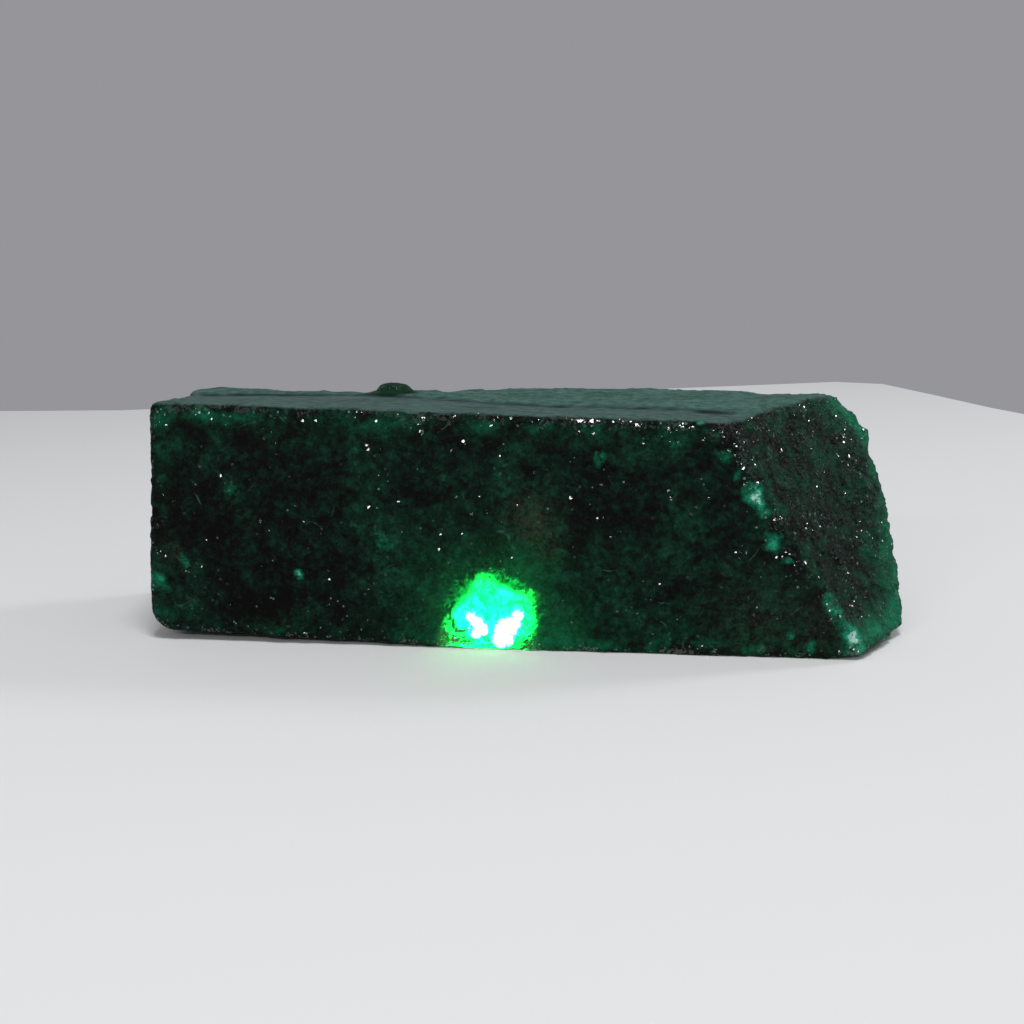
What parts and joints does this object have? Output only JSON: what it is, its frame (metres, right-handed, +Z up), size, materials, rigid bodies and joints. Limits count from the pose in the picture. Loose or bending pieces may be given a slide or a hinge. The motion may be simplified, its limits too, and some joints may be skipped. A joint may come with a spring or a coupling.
{
  "type": "raw emerald crystal",
  "caption": "Block of rough dark green emerald, sawn flat on the front, top, left end and underside, with a slanted broken right end and a natural rough back; lies on its flat underside.",
  "frame": {"origin": "middle of the stone's box, at the height of the flat underside that it lies on", "axes": "+X along the stone towards its slanted broken end, +Y from the large sawn front face to the rough back, +Z up"},
  "size_m": [0.0912, 0.029, 0.0285],
  "materials": {
    "emerald": "granular sawn and broken beryl, nearly black green, satin with small glints, translucent only at its thin edges"
  },
  "bodies": {
    "root": {"emerald": "emerald"}
  },
  "joints": []
}
